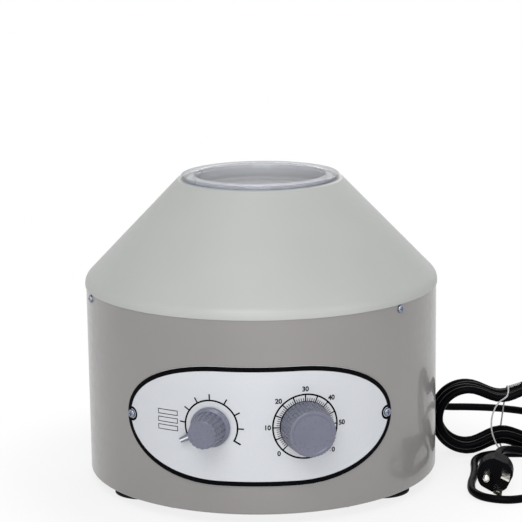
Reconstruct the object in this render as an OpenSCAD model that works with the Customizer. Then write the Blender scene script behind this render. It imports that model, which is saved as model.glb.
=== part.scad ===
// Low speed bench centrifuge: a drum body under a sheet metal cone, a clear
// lift-off lid, a six place angle rotor on a brush motor, a speed dial and a
// timer on a curved control panel, and a mains cord tied in a hank.
// Millimetres. Z is up, the ground is z = 0, the front faces -Y, and the
// rotor turns about the Z axis. Azimuths run from the front towards +X.

/* [Housing] */
// Outside diameter of the drum body
body_d = 260; // [256:1:262]
// Height of the seam where the cone starts
seam_z = 147; // [146:0.5:149]
// Height of the cone's flat top edge
cone_top_z = 224.6; // [222:0.2:227]
// Radius lost per millimetre of height on the cone's straight side
cone_run = 0.967; // [0.95:0.001:0.975]
// Radius of the loading opening
opening_r = 52.5; // [52:0.5:54]
// Thickness of the body and cone sheet
sheet = 1.2; // [1:0.1:1.4]
// Height of the rubber feet under the body
foot_h = 8; // [7.5:0.5:8.5]
// Distance of the feet from the axis
foot_circle_r = 100; // [98:1:101]

/* [Lid] */
// Radius of the lid's flange
lid_r = 58.5; // [57:0.5:60]
// Thickness of the lid's flange
lid_flange = 3.2; // [2.6:0.2:4]
// Depth of the dish below the flange top
lid_dish = 12; // [10:0.5:13]

/* [Rotor] */
// Number of tube places
places = 6; // [6:1:6]
// Bore radius of a tube sleeve
sleeve_bore_r = 9.5; // [9:0.1:9.6]
// Wall of a tube sleeve
sleeve_wall = 1.2; // [1:0.1:1.2]
// Length of a tube sleeve
sleeve_len = 87.7; // [80:0.1:90]
// Tilt of a sleeve from the vertical
sleeve_tilt = 45; // [44:1:46]
// Radius of the circle of sleeve mouths
mouth_r = 38; // [37:0.5:39]
// Height of the sleeve mouths
mouth_z = 187; // [186:0.5:188]

/* [Controls] */
// Half of the azimuth between the two dials
dial_az = 14.5; // [14:0.1:15]
// Height of both dial centres
dial_z = 71.2; // [70:0.1:72]
// Radius of the speed knob's skirt
speed_skirt_r = 14.2; // [13.5:0.1:14.5]
// Radius of the timer knob at its base
timer_knob_r = 18; // [17:0.1:18]
// Direction of the speed pointer at rest, counterclockwise from the right
pointer_at = 206; // [200:1:210]

/* [Motor] */
// Outside radius of the motor can
can_r = 38; // [38:0.5:39]
// Radius of the motor shaft, which is the bore of a common ball bearing
shaft_r = 4; // [4:0.1:4]
// Height of the rubber mounts under the motor
mount_h = 12; // [11:0.5:12]

/* [Cord] */
// Diameter of the mains cord
cord_d = 6; // [5.6:0.1:6]
// Loops in the hank, one in each layer
hank_loops = 4; // [4:2:4]
// Radius of the hank's tightest fold
fold_r = 20; // [19:0.5:20]
// How much the spiral widens in one loop
hank_step = 7.4; // [7.4:0.1:7.5]
// Distance between two layers of the hank
hank_layer = 7; // [6.8:0.1:7]
// Half of the straight run between the hank's folds
hank_run = 26; // [26:1:27]
// How far the runs are drawn in under the tie
hank_waist = 7.5; // [7:0.1:7.5]

/* [Hidden] */
$fn = 96;

// fits: a running fit on a shaft, a loose fit on a screw, and the gap
// between two pressed sheets that nest
fit = 0.05;
screw_gap = 0.2;
nest_gap = 0.1;

// drum body
body_r = body_d / 2;
body_in = body_r - sheet;
flange_r = body_r - 14;
floor_z = foot_h + sheet;
plate_t = 1.5;
plate_top = floor_z + plate_t;
plate_r = body_in - 0.5;
base_screw_r = body_r - 8;
base_screw_az = [for (k = [0:5]) 30 + 60 * k];
foot_az = [-60, 60, 180];
foot_r = 21.5;
foot_neck_r = 9;

// cone: its side lies on r + cone_run * z = cone_sum
lip_r = body_r + 0.7;
cone_sum = 61.5 + cone_run * 224;
cone_unit = norm([1, cone_run]);
skirt_r = body_in - 0.3;
skirt_drop = 10;
shoulder_r = 9;
rim_screw_az = [-70, 50, 170];
rim_screw_z = seam_z - 3.2;

// spin chamber
bowl_r = skirt_r - sheet - nest_gap;
bowl_t = 1;
bowl_z = 96;
bowl_top = seam_z - 0.5;
seal_r = 11;

// rotor: a point on a sleeve's axis lies "down" millimetres below its mouth
sleeve_r = sleeve_bore_r + sleeve_wall;
collar_r = sleeve_r + 1.8;
collar_t = 2.5;
collar_down = 4;
seat_down = collar_down + collar_t;
head_front = 6;
head_back = 45;
head_half = 16;
hub_r = 14;
hub_z = 103.5;
hub_seat = 124;
hub_neck_r = 12;
hub_top = 150;
washer_t = 1.5;
nut_z = hub_top + washer_t;
nut_h = 7;
nut_dome = 5.5;
shaft_top = nut_z + nut_h - 0.5;

// motor heights
mount_top = plate_top + mount_h;
bell_t = 4;
can_z = mount_top + bell_t;
can_top = 84;
can_wall = 1.5;
core_z = [40, 66];
bore_r = 22;
air_gap = 0.6;
bearing_r = 11;
bearing_h = 7;
lower_seat = can_z;
upper_seat = 85;
ear_circle_r = 46;
ear_az = [0, 120, 240];
comm_r = 11;
comm_z = [72.5, 79.5];
brush_w = 5;

// controls, measured outwards from the drum's surface
panel_t = 0.8;
panel_gap = 0.05;
panel_front = panel_gap + panel_t;
panel_z = 71.7;
panel_flat = 27.5;
panel_end = [75.3, 42.8];
panel_screw_az = 43.4;
panel_screw_z = 72;
control_shaft_r = 3;
knob_back = 1.6;
bushing_r = 4.7;
bushing_tip = 5;
timer_screw_x = 11;
timer_hole_r = 6;

// cord, from the strain relief to the plug. The route's points are placed by
// hand, and the hank follows a formula between the two free stretches.
cord_r = cord_d / 2;
lay_z = 3.2;
exit_az = 143.13;
exit_z = 33;
relief_len = 30;
relief_hole_r = 7;
lead_route = [
    [96, 128, 33], [102, 136, 33], [109, 143, 31], [117, 149, 25], [122, 152, 18], [128, 154, 11],
    [138, 156, 5], [150, 156, 3.2], [165, 155, 3.2], [181, 153, 3.2], [196, 149, 3.2], [211, 142, 3.2],
    [224, 132, 3.2], [233, 119, 3.2], [238, 104, 3.2], [239, 87, 3.2], [239, 70, 3.2], [237, 61, 3.2],
    [232, 52, 3.2], [225, 47, 3.2], [218, 46, 3.2], [215, 46, 3.2]
];
tail_route = [
    [203, 25, 3.2], [194, 25, 3.2], [184, 25, 3.2], [175, 23, 3.2], [167, 18, 3.2], [162, 10, 3.2],
    [160, 1, 3.2], [159, -14, 3.2], [157, -30, 3.2], [154, -46, 3.2], [153, -61, 3.2], [155, -70, 3.2],
    [160, -78, 3.2], [168, -83, 3.2], [177, -85, 3.2], [186, -83, 3.2], [194, -78, 3.2], [199, -70, 3.2],
    [201, -61, 3.2], [204, -48, 3.2], [213, -35, 3.2], [222, -22, 3.2], [225, -9, 3.2], [223, 0, 3.4],
    [218, 8, 4.4], [210, 13, 6], [201, 15, 8], [192, 13, 10], [184, 8, 11.7], [179, 0, 12.7],
    [177, -9, 13], [176, -16, 13]
];
hank_at = [183, 46, lay_z + fold_r + hank_step];
run_rings = 4;
fold_rings = 12;
loop_rings = 2 * (run_rings + fold_rings);
tie_t = 0.7;
tie_w = 3;
tie_gap = 0.4;
tie_z = [7.5, 51];

// plug
plug_rear = [176, -16, 13];
plug_yaw = atan(1 / 7);
plug_roll = 65;
plug_r = 13;
plug_face = 44;
plug_relief = 16;
blade = [6.3, 1.5, 17];
blade_apart = 12.7;
ground_off = 11.9;
ground_r = 2.4;
ground_len = 18;

// geometry helpers
function unit(v) = v / norm(v);
function xy(p) = [p[0], p[1]];
function wrap(a) = a > 180 ? a - 360 : (a < -180 ? a + 360 : a);

// the points that round the corner b, between a and c, to radius r
function fillet(a, b, c, r, n) =
    r == 0 ? [b] :
    let (
        u = unit(a - b),
        v = unit(c - b),
        half = acos(u * v) / 2,
        centre = b + unit(u + v) * r / sin(half),
        from = b + u * r / tan(half) - centre,
        to = b + v * r / tan(half) - centre,
        start = atan2(from[1], from[0]),
        turn = wrap(atan2(to[1], to[0]) - start)
    )
    [for (i = [0:n]) centre + r * [cos(start + turn * i / n), sin(start + turn * i / n)]];

// an outline from corners given as [x, y, radius]
function rounded(corners, n = 4) =
    let (m = len(corners), at = function(i) xy(corners[(i + m) % m]))
    [for (i = [0:m - 1]) each fillet(at(i - 1), at(i), at(i + 1), corners[i][2], n)];

// radius of the cone's side at a height, that far inside its outer face
function side_r(z, inset) = cone_sum - inset * cone_unit - cone_run * z;
function side_z(r, inset) = (cone_sum - inset * cone_unit - r) / cone_run;

// a point of the rotor's half section: down a sleeve's axis, then square to it
function along_sleeve(down, across) =
    [mouth_r + down * sin(sleeve_tilt) + across * cos(sleeve_tilt),
     mouth_z - down * cos(sleeve_tilt) + across * sin(sleeve_tilt)];

// a swept tube along a route, with rings squared to it
function tangents(p) = [for (i = [0:len(p) - 1]) unit(p[min(i + 1, len(p) - 1)] - p[max(i - 1, 0)])];
function ring(p, t, up, r, sides) =
    let (b = unit(cross(t, up)), n = cross(b, t))
    [for (k = [0:sides - 1]) p + r * (cos(360 * k / sides) * n + sin(360 * k / sides) * b)];
function route_length(p) = len(p) < 2 ? 0 : norm_sum(p, 0);
function norm_sum(p, i) = i > len(p) - 2 ? 0 : norm(p[i + 1] - p[i]) + norm_sum(p, i + 1);

module tube(route, r, sides, up) {
    count = len(route);
    t = tangents(route);
    points = [for (i = [0:count - 1]) each ring(route[i], t[i], up, r, sides)];
    last = (count - 1) * sides;
    walls = [for (i = [0:count - 2], k = [0:sides - 1])
        let (a = i * sides + k, b = i * sides + (k + 1) % sides)
        each [[a, b + sides, b], [a, a + sides, b + sides]]];
    ends = [for (k = [1:sides - 2]) each [[0, k, k + 1], [last, last + k + 1, last + k]]];
    polyhedron(points, concat(walls, ends));
}

// places things on the drum's side: z points outwards, y up, x to the right
module on_drum(az, z) {
    rotate([0, 0, az])
        translate([0, -body_r, z])
            rotate([90, 0, 0])
                children();
}

// places things upright on a circle round the axis
module on_circle(azimuths, r, z) {
    for (az = azimuths)
        rotate([0, 0, az])
            translate([0, -r, z])
                children();
}

module on_sleeve(k) {
    rotate([0, 0, 360 / places * k])
        translate([mouth_r, 0, mouth_z])
            rotate([0, -sleeve_tilt, 0])
                children();
}

module spin(corners) {
    rotate_extrude()
        polygon(rounded(corners));
}

// a pan head screw: head above z = 0, shank below, cross recess in the head
module pan_screw(head_r, head_h, shank_r, shank_len) {
    difference() {
        union() {
            spin([[0, 0, 0], [head_r, 0, 0], [head_r, head_h, head_h * 0.6], [0, head_h, 0]]);
            translate([0, 0, -shank_len])
                cylinder(r = shank_r, h = shank_len + 0.01, $fn = 24);
        }
        for (a = [0, 90])
            rotate([0, 0, a])
                translate([-head_r * 0.6, -head_r * 0.12, head_h * 0.45])
                    cube([head_r * 1.2, head_r * 0.24, head_h]);
    }
}

// the drum: one rolled sheet with its bottom edge turned in
module body_shell() {
    color([0.60, 0.59, 0.58])
    difference() {
        spin([
            [flange_r, foot_h, 0], [body_r, foot_h, 1.5], [body_r, seam_z, 0],
            [body_in, seam_z, 0], [body_in, floor_z, 0.3], [flange_r, floor_z, 0]
        ]);
        on_circle(base_screw_az, base_screw_r, 0)
            cylinder(r = 2 + screw_gap, h = 20, $fn = 24);
        for (az = rim_screw_az)
            on_drum(az, rim_screw_z)
                translate([0, 0, -5])
                    cylinder(r = 1.5 + screw_gap, h = 10, $fn = 24);
        for (side = [-1, 1])
            on_drum(side * panel_screw_az, panel_screw_z)
                translate([0, 0, -5])
                    cylinder(r = 1.7 + screw_gap, h = 10, $fn = 24);
        on_drum(-dial_az, dial_z)
            translate([0, 0, -5])
                cylinder(r = bushing_r + screw_gap, h = 10, $fn = 48);
        on_drum(dial_az, dial_z)
            timer_openings();
        on_drum(exit_az, exit_z)
            translate([0, 0, -5])
                cylinder(r = relief_hole_r, h = 10, $fn = 48);
    }
}

module timer_openings() {
    translate([0, 0, -5])
        cylinder(r = timer_hole_r, h = 10, $fn = 48);
    for (side = [-1, 1])
        translate([side * timer_screw_x, 0, -5])
            cylinder(r = 1.5 + screw_gap, h = 10, $fn = 24);
}

// the bottom plate lies on the drum's flange and carries motor and board
module base_plate() {
    color([0.55, 0.56, 0.57])
    difference() {
        translate([0, 0, floor_z])
            cylinder(r = plate_r, h = plate_t, $fn = 180);
        on_circle(base_screw_az, base_screw_r, 0)
            cylinder(r = 2 + fit, h = 20, $fn = 24);
        on_circle(foot_az, foot_circle_r, 0)
            cylinder(r = 2 + screw_gap, h = 20, $fn = 24);
        on_circle(ear_az, ear_circle_r, 0)
            cylinder(r = 2 + fit, h = 20, $fn = 24);
        for (k = [0:11])
            rotate([0, 0, 15 + 30 * k])
                vent_slot();
        board_frame()
            standoff_places()
                cylinder(r = 1.5 + fit, h = 40, center = true, $fn = 24);
    }
}

module vent_slot() {
    for (end = [62, 78])
        translate([0, -end, 0])
            cylinder(r = 2.5, h = 20, $fn = 24);
    translate([-2.5, -78, 0])
        cube([5, 16, 20]);
}

module base_screws() {
    color([0.75, 0.76, 0.78])
    on_circle(base_screw_az, base_screw_r, foot_h)
        rotate([180, 0, 0])
            pan_screw(3.6, 2, 2, 6);
}

// pressed sheet cone: nested skirt, overhanging lip, round shoulder, straight
// side, rolled top edge and a turned down rim round the opening
module top_cone() {
    color([0.75, 0.76, 0.74])
    difference() {
        spin([
            [skirt_r, seam_z - skirt_drop, 0],
            [skirt_r, seam_z, 0],
            [lip_r, seam_z, 0.4],
            [lip_r, side_z(lip_r, 0), shoulder_r],
            [side_r(cone_top_z, 0), cone_top_z, 2],
            [opening_r, cone_top_z, 1.5],
            [opening_r, cone_top_z - 5.6, 0],
            [opening_r + sheet, cone_top_z - 5.6, 0],
            [opening_r + sheet, cone_top_z - sheet, 0.3],
            [side_r(cone_top_z - sheet, sheet), cone_top_z - sheet, 0.8],
            [lip_r - sheet, side_z(lip_r - sheet, sheet), shoulder_r - sheet],
            [lip_r - sheet, seam_z + sheet, 0],
            [skirt_r - sheet, seam_z + sheet, 0],
            [skirt_r - sheet, seam_z - skirt_drop, 0]
        ]);
        for (az = rim_screw_az)
            on_drum(az, rim_screw_z)
                translate([0, 0, -5])
                    cylinder(r = 1.5 + screw_gap, h = 10, $fn = 24);
    }
}

module rim_screws() {
    color([0.80, 0.82, 0.85])
    for (az = rim_screw_az)
        on_drum(az, rim_screw_z)
            pan_screw(3, 1.8, 1.5, 6);
}

// deep drawn bowl round the rotor, with a raised collar at the shaft
module chamber_bowl() {
    color([0.66, 0.67, 0.68])
    difference() {
        spin([
            [seal_r, bowl_z, 0], [bowl_r, bowl_z, 12], [bowl_r, bowl_top, 0],
            [bowl_r - bowl_t, bowl_top, 0], [bowl_r - bowl_t, bowl_z + bowl_t, 11],
            [seal_r + bowl_t, bowl_z + bowl_t, 1], [seal_r + bowl_t, bowl_z + 5, 0],
            [seal_r, bowl_z + 5, 0]
        ]);
        for (az = rim_screw_az)
            on_drum(az, rim_screw_z)
                translate([0, 0, -6])
                    cylinder(r = 1.5 + screw_gap, h = 10, $fn = 24);
    }
}

module shaft_seal() {
    color([0.10, 0.10, 0.11])
    spin([
        [4.8, bowl_z - 1.4, 0], [seal_r - nest_gap, bowl_z - 1.4, 0.5],
        [seal_r - nest_gap, bowl_z + 5.1, 0], [14, bowl_z + 5.1, 0.4],
        [14, bowl_z + 6.4, 0.4], [4.8, bowl_z + 6.4, 0]
    ]);
}

// suction cup foot: a flat rim, a flared wall, a neck and a hollow below
module foot(az) {
    color([0.08, 0.08, 0.08])
    on_circle([az], foot_circle_r, 0)
        difference() {
            spin([
                [0, 0, 0], [foot_r, 0, 0], [foot_r, 1.4, 0.5], [foot_neck_r, 5.4, 3],
                [foot_neck_r, floor_z, 0], [0, floor_z, 0]
            ]);
            spin([[0, -1, 0], [foot_r - 2.5, -1, 0], [foot_r - 2.5, 0, 0], [6, 2.8, 2], [0, 2.8, 0]]);
            translate([0, 0, 4.4])
                cylinder(r = 2 + fit, h = 10, $fn = 24);
        }
}

module foot_screws() {
    color([0.75, 0.76, 0.78])
    on_circle(foot_az, foot_circle_r, plate_top)
        pan_screw(3.6, 2, 2, 6);
}

// half of the panel's outline on the unrolled drum: arc length and height
function panel_edge(a) =
    [panel_end[0] * cos(a) + (cos(a) >= 0 ? panel_flat : -panel_flat), panel_end[1] * sin(a)];
panel_outline = [for (i = [0:47]) panel_edge(-86.25 + 7.5 * i)];

// thin metal plate, rolled to the drum, straight above and below, round ended
module control_panel() {
    color([0.82, 0.83, 0.85])
    difference() {
        intersection() {
            translate([0, 0, panel_z - 60])
                difference() {
                    cylinder(r = body_r + panel_front, h = 120, $fn = 180);
                    translate([0, 0, -1])
                        cylinder(r = body_r + panel_gap, h = 122, $fn = 180);
                }
            translate([0, 0, panel_z])
                rotate([90, 0, 0])
                    linear_extrude(body_r + 20)
                        polygon([for (p = panel_outline) [body_r * sin(p[0] / body_r * 180 / PI), p[1]]]);
        }
        for (side = [-1, 1])
            on_drum(side * panel_screw_az, panel_screw_z)
                translate([0, 0, -5])
                    cylinder(r = 1.7 + screw_gap, h = 10, $fn = 24);
        on_drum(-dial_az, dial_z)
            translate([0, 0, -5])
                cylinder(r = bushing_r + screw_gap, h = 10, $fn = 48);
        on_drum(dial_az, dial_z)
            timer_openings();
    }
}

module panel_screws() {
    color([0.80, 0.82, 0.85])
    for (side = [-1, 1])
        on_drum(side * panel_screw_az, panel_screw_z)
            translate([0, 0, panel_front])
                pan_screw(3, 1.8, 1.7, 7);
}

// rotary potentiometer: round case, threaded bushing and three tags
module speed_pot() {
    color([0.45, 0.47, 0.50])
    on_drum(-dial_az, dial_z)
        difference() {
            union() {
                translate([0, 0, -14])
                    cylinder(r = 12, h = 11.8);
                translate([0, 0, -3])
                    cylinder(r = bushing_r, h = 3 + bushing_tip, $fn = 48);
                for (x = [-5, 0, 5])
                    translate([x - 1.5, -18, -8])
                        cube([3, 8, 0.8]);
            }
            translate([0, 0, -10])
                cylinder(r = control_shaft_r + fit, h = 30, $fn = 48);
        }
}

module pot_nut() {
    color([0.78, 0.79, 0.80])
    on_drum(-dial_az, dial_z)
        translate([0, 0, panel_front])
            difference() {
                cylinder(r = 7, h = 2, $fn = 6);
                translate([0, 0, -1])
                    cylinder(r = bushing_r + fit, h = 4, $fn = 48);
            }
}

// clockwork timer: square case with bosses that meet the drum's wall
module timer_case() {
    color([0.20, 0.21, 0.23])
    on_drum(dial_az, dial_z)
        difference() {
            union() {
                translate([-23, -21, -27.9])
                    cube([46, 42, 24]);
                translate([0, 0, -4])
                    cylinder(r = 8, h = 2.1, $fn = 48);
                for (side = [-1, 1])
                    translate([side * timer_screw_x, 0, -4])
                        cylinder(r = 3.5, h = 1.9, $fn = 32);
            }
            translate([0, 0, -14])
                cylinder(r = control_shaft_r + fit, h = 20, $fn = 48);
            for (side = [-1, 1])
                translate([side * timer_screw_x, 0, -12])
                    cylinder(r = 1.5 + fit, h = 20, $fn = 24);
        }
}

module timer_screws() {
    color([0.80, 0.82, 0.85])
    on_drum(dial_az, dial_z)
        for (side = [-1, 1])
            translate([side * timer_screw_x, 0, panel_front - 0.2])
                pan_screw(2.6, 1.6, 1.5, 10);
}

// knob with a skirt, a fluted grip that tapers, and a long pointer
module speed_knob() {
    grip = [12, 5.5];
    face = [10.2, 22];
    flutes = 18;
    lean = atan((grip[0] - face[0]) / (face[1] - grip[1]));
    color([0.47, 0.48, 0.54])
    on_drum(-dial_az, dial_z) {
        difference() {
            union() {
                spin([
                    [0, knob_back, 0], [speed_skirt_r, knob_back, 0.3], [speed_skirt_r, 3.6, 1],
                    [grip[0], grip[1], 0.5], [face[0], face[1], 1.2], [0, 22.4, 0]
                ]);
                rotate([0, 0, pointer_at])
                    translate([0, 0, knob_back])
                        linear_extrude(2.4)
                            polygon([
                                [8, -3.2], [8, 3.2], [14, 2.6],
                                [24, 1.7], [24, -1.7], [14, -2.6]
                            ]);
            }
            for (k = [0:flutes - 1])
                rotate([0, 0, 360 / flutes * k])
                    translate([grip[0] + 0.4, 0, grip[1]])
                        rotate([0, -lean, 0])
                            cylinder(r = 1.1, h = 20, $fn = 16);
            translate([0, 0, knob_back - 1])
                cylinder(r = 8.6, h = 5.6, $fn = 48);
            cylinder(r = control_shaft_r + fit, h = 17, $fn = 48);
        }
    }
}

module pot_shaft() {
    color([0.80, 0.80, 0.78])
    on_drum(-dial_az, dial_z)
        translate([0, 0, -9])
            cylinder(r = control_shaft_r, h = 25.8, $fn = 48);
}

// broad knob with fine flutes and a shallow dished face
module timer_knob() {
    face = [16.6, 21];
    flutes = 40;
    lean = atan((timer_knob_r - face[0]) / (face[1] - knob_back));
    color([0.47, 0.48, 0.54])
    on_drum(dial_az, dial_z)
        difference() {
            spin([
                [0, knob_back, 0], [timer_knob_r, knob_back, 0.4], [timer_knob_r, knob_back + 1.4, 0],
                [face[0], face[1], 1.4], [face[0] - 2.6, face[1], 0], [face[0] - 3.2, face[1] - 0.5, 0],
                [0, face[1] - 0.5, 0]
            ]);
            for (k = [0:flutes - 1])
                rotate([0, 0, 360 / flutes * k])
                    translate([timer_knob_r + 0.1, 0, knob_back + 1.4])
                        rotate([0, -lean, 0])
                            cylinder(r = 0.8, h = 20, $fn = 14);
            translate([0, 0, knob_back - 1])
                cylinder(r = 15, h = 4.4);
            cylinder(r = control_shaft_r + fit, h = 17, $fn = 48);
        }
}

module timer_shaft() {
    color([0.80, 0.80, 0.78])
    on_drum(dial_az, dial_z)
        translate([0, 0, -13])
            cylinder(r = control_shaft_r, h = 29.8, $fn = 48);
}

// one end bell: a disc, a register ring inside the can and a bearing boss
module bell_disc(z, t, ring_z, ring_h) {
    translate([0, 0, z])
        cylinder(r = can_r, h = t);
    translate([0, 0, ring_z])
        difference() {
            cylinder(r = can_r - can_wall - nest_gap, h = ring_h);
            translate([0, 0, -1])
                cylinder(r = can_r - can_wall - 2, h = ring_h + 2);
        }
}

module motor_lower_bell() {
    color([0.70, 0.71, 0.72])
    difference() {
        union() {
            bell_disc(mount_top, bell_t, can_z - 0.01, 3);
            translate([0, 0, mount_top])
                cylinder(r = bearing_r + 3, h = bell_t + bearing_h);
            for (az = ear_az)
                rotate([0, 0, az])
                    motor_ear();
        }
        translate([0, 0, lower_seat])
            cylinder(r = bearing_r + fit, h = 20);
        translate([0, 0, mount_top - 1])
            cylinder(r = 6, h = 10, $fn = 48);
        on_circle(ear_az, ear_circle_r, 0)
            cylinder(r = 2 + screw_gap, h = 40, $fn = 24);
    }
}

module motor_ear() {
    translate([0, -ear_circle_r, mount_top])
        cylinder(r = 8, h = bell_t, $fn = 48);
    translate([-8, -ear_circle_r, mount_top])
        cube([16, 14, bell_t]);
}

module motor_upper_bell() {
    color([0.70, 0.71, 0.72])
    difference() {
        union() {
            bell_disc(can_top, 3, can_top - 3, 3.01);
            translate([0, 0, 80.5])
                cylinder(r = bearing_r + 3, h = 13.5);
        }
        translate([0, 0, upper_seat])
            cylinder(r = bearing_r + fit, h = 20);
        translate([0, 0, 70])
            cylinder(r = 6, h = 30, $fn = 48);
        for (k = [0:5])
            rotate([0, 0, 30 + 60 * k])
                translate([24, 0, 70])
                    cylinder(r = 4, h = 30, $fn = 32);
    }
}

module motor_can() {
    color([0.30, 0.32, 0.34])
    difference() {
        translate([0, 0, can_z])
            cylinder(r = can_r, h = can_top - can_z);
        translate([0, 0, can_z - 1])
            cylinder(r = can_r - can_wall, h = can_top - can_z + 2);
        for (side = [0, 180])
            rotate([0, 0, side])
                translate([0, 40, 76])
                    cube([8, 20, 8], center = true);
    }
}

module motor_mounts() {
    color([0.12, 0.12, 0.12])
    on_circle(ear_az, ear_circle_r, 0)
        difference() {
            spin([
                [0, plate_top, 0], [8, plate_top, 0.5], [6.6, plate_top + mount_h / 2, 3],
                [8, mount_top, 0.5], [0, mount_top, 0]
            ]);
            cylinder(r = 2 + screw_gap, h = 40, $fn = 24);
        }
}

module motor_screws() {
    color([0.75, 0.76, 0.78])
    on_circle(ear_az, ear_circle_r, can_z)
        pan_screw(3.6, 2.4, 2, can_z - floor_z);
}

// two pole lamination stack: poles on X with curved shoes round the bore
module field_core() {
    h = core_z[1] - core_z[0];
    out = can_r - can_wall - nest_gap;
    gap_r = bore_r + air_gap;
    color([0.38, 0.38, 0.40])
    translate([0, 0, core_z[0]])
        linear_extrude(h)
            difference() {
                circle(r = out);
                difference() {
                    circle(r = out - 5);
                    square([90, 18], center = true);
                    intersection() {
                        circle(r = gap_r + 3.2);
                        square([90, 34], center = true);
                    }
                }
                circle(r = gap_r);
            }
}

// one saddle coil round each pole neck
module field_coils() {
    h = core_z[1] - core_z[0];
    mid = (core_z[0] + core_z[1]) / 2;
    color([0.72, 0.45, 0.20])
    for (side = [0, 180])
        rotate([0, 0, side])
            difference() {
                intersection() {
                    translate([0, -16, mid - h / 2 - 5])
                        cube([40, 32, h + 10]);
                    difference() {
                        translate([0, 0, mid - 25])
                            cylinder(r = can_r - can_wall - 5.5, h = 50);
                        translate([0, 0, mid - 26])
                            cylinder(r = bore_r + air_gap + 3.6, h = 52);
                    }
                }
                translate([0, -9.3, mid - h / 2 - 0.3])
                    cube([40, 18.6, h + 0.6]);
            }
}

// deep groove ball bearing, shown as its two races and a shield
module bearing(z) {
    spin([
        [shaft_r + fit, z, 0.3], [6, z, 0], [6, z + 0.4, 0], [9.2, z + 0.4, 0], [9.2, z, 0],
        [bearing_r, z, 0.4], [bearing_r, z + bearing_h, 0.4], [9.2, z + bearing_h, 0],
        [9.2, z + bearing_h - 0.4, 0], [6, z + bearing_h - 0.4, 0], [6, z + bearing_h, 0],
        [shaft_r + fit, z + bearing_h, 0.3]
    ]);
}

module brush_frame() {
    for (side = [90, 270])
        rotate([0, 0, side])
            translate([0, 0, (comm_z[0] + comm_z[1]) / 2])
                children();
}

module brush_holders() {
    color([0.75, 0.62, 0.30])
    brush_frame()
        difference() {
            translate([14, -3.4, -3.4])
                cube([20, 6.8, 6.8]);
            translate([13, -brush_w / 2 - 0.1, -brush_w / 2 - 0.1])
                cube([30, brush_w + 0.2, brush_w + 0.2]);
        }
}

module carbon_brushes() {
    color([0.15, 0.15, 0.16])
    brush_frame()
        difference() {
            translate([comm_r - 1, -brush_w / 2, -brush_w / 2])
                cube([13, brush_w, brush_w]);
            cylinder(r = comm_r + 0.3, h = 20, center = true, $fn = 64);
        }
}

// control board frame: x tangential, y radial, behind and left of the motor
module board_frame() {
    rotate([0, 0, -120])
        translate([0, -86, mount_top])
            children();
}

module standoff_places() {
    for (x = [-28, 28], y = [-15, 15])
        translate([x, y, 0])
            children();
}

module speed_board() {
    color([0.10, 0.35, 0.18])
    board_frame()
        difference() {
            translate([-33, -20, 0])
                cube([66, 40, 1.6]);
            standoff_places()
                cylinder(r = 1.7, h = 10, center = true, $fn = 24);
        }
}

module board_standoffs() {
    color([0.80, 0.78, 0.60])
    board_frame()
        standoff_places() {
            translate([0, 0, -mount_h])
                cylinder(r = 3, h = mount_h, $fn = 6);
            translate([0, 0, -mount_h - plate_t])
                cylinder(r = 1.5, h = mount_h + plate_t + 3.5, $fn = 24);
            translate([0, 0, 1.6])
                cylinder(r = 2.8, h = 1.6, $fn = 24);
        }
}

module heat_sink() {
    color([0.78, 0.79, 0.80])
    board_frame()
        translate([-18, -8, 1.6]) {
            cube([36, 3, 22]);
            for (k = [0:8])
                translate([4 * k + 1, -8, 0])
                    cube([1.6, 8.01, 22]);
        }
}

module capacitor() {
    color([0.85, 0.80, 0.25])
    board_frame()
        translate([0, 9, 1.6])
            rotate([90, 0, 0])
                linear_extrude(9, center = true)
                    polygon(rounded([[-13, 0, 1], [13, 0, 1], [13, 17, 2], [-13, 17, 2]]));
}

// moulded strain relief: inner head, groove for the wall, ribbed taper
module strain_relief() {
    ribs = 5;
    color([0.07, 0.07, 0.07])
    on_drum(exit_az, exit_z)
        difference() {
            spin([
                [0, -5, 0], [9, -5, 0.5], [9, -1.8, 0], [relief_hole_r - nest_gap, -1.8, 0],
                [relief_hole_r - nest_gap, 0.1, 0], [9, 0.1, 0], [9, 3, 0.8], [7, 3, 0],
                [4, relief_len, 0.4], [0, relief_len, 0]
            ]);
            for (k = [0:ribs - 1])
                translate([0, 0, 6 + 4.6 * k])
                    spin([[6.1 - 0.5 * k, 0, 0], [12, 0, 0], [12, 2, 0], [6.1 - 0.5 * k, 2, 0]]);
        }
}

// hank: each loop is a run, a fold, a run and a fold. The spiral goes in over
// one loop and out over the next, and climbs a layer along the run between.
function hank_radius(t) = fold_r + hank_step * abs(1 - (t % 2));
function fold_point(side, a, r) = [side * hank_run + r * cos(a), r * sin(a)];
function loop_point(f, r) =
    f < run_rings ? [hank_run - 2 * hank_run * f / run_rings, -r] :
    f < run_rings + fold_rings ? fold_point(-1, -90 - 180 * (f - run_rings) / fold_rings, r) :
    f < loop_rings - fold_rings
        ? [2 * hank_run * (f - run_rings - fold_rings) / run_rings - hank_run, r]
        : fold_point(1, 90 - 180 * (f - 2 * run_rings - fold_rings) / fold_rings, r);
function drawn_in(p) =
    abs(p[0]) >= hank_run ? p :
    [p[0], p[1] - sign(p[1]) * hank_waist * (1 + cos(180 * p[0] / hank_run)) / 2];
function layers_crossed(i) =
    let (loop = floor(i / loop_rings), part = min((i % loop_rings) / run_rings, 1))
    loop == 0 ? 0 : (loop >= hank_loops ? hank_loops - 1 : loop - 1 + (1 - cos(180 * part)) / 2);
function hank_point(i) =
    let (p = drawn_in(loop_point(i % loop_rings, hank_radius(i / loop_rings))))
    hank_at + [p[0], -hank_layer * layers_crossed(i), p[1]];
hank_last = hank_loops * loop_rings;
hank_route = concat(
    [hank_point(0) + [cord_d, 0, 0]],
    [for (i = [0:hank_last]) hank_point(i)],
    [hank_point(hank_last) - [cord_d, 0, 0]]
);

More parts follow.
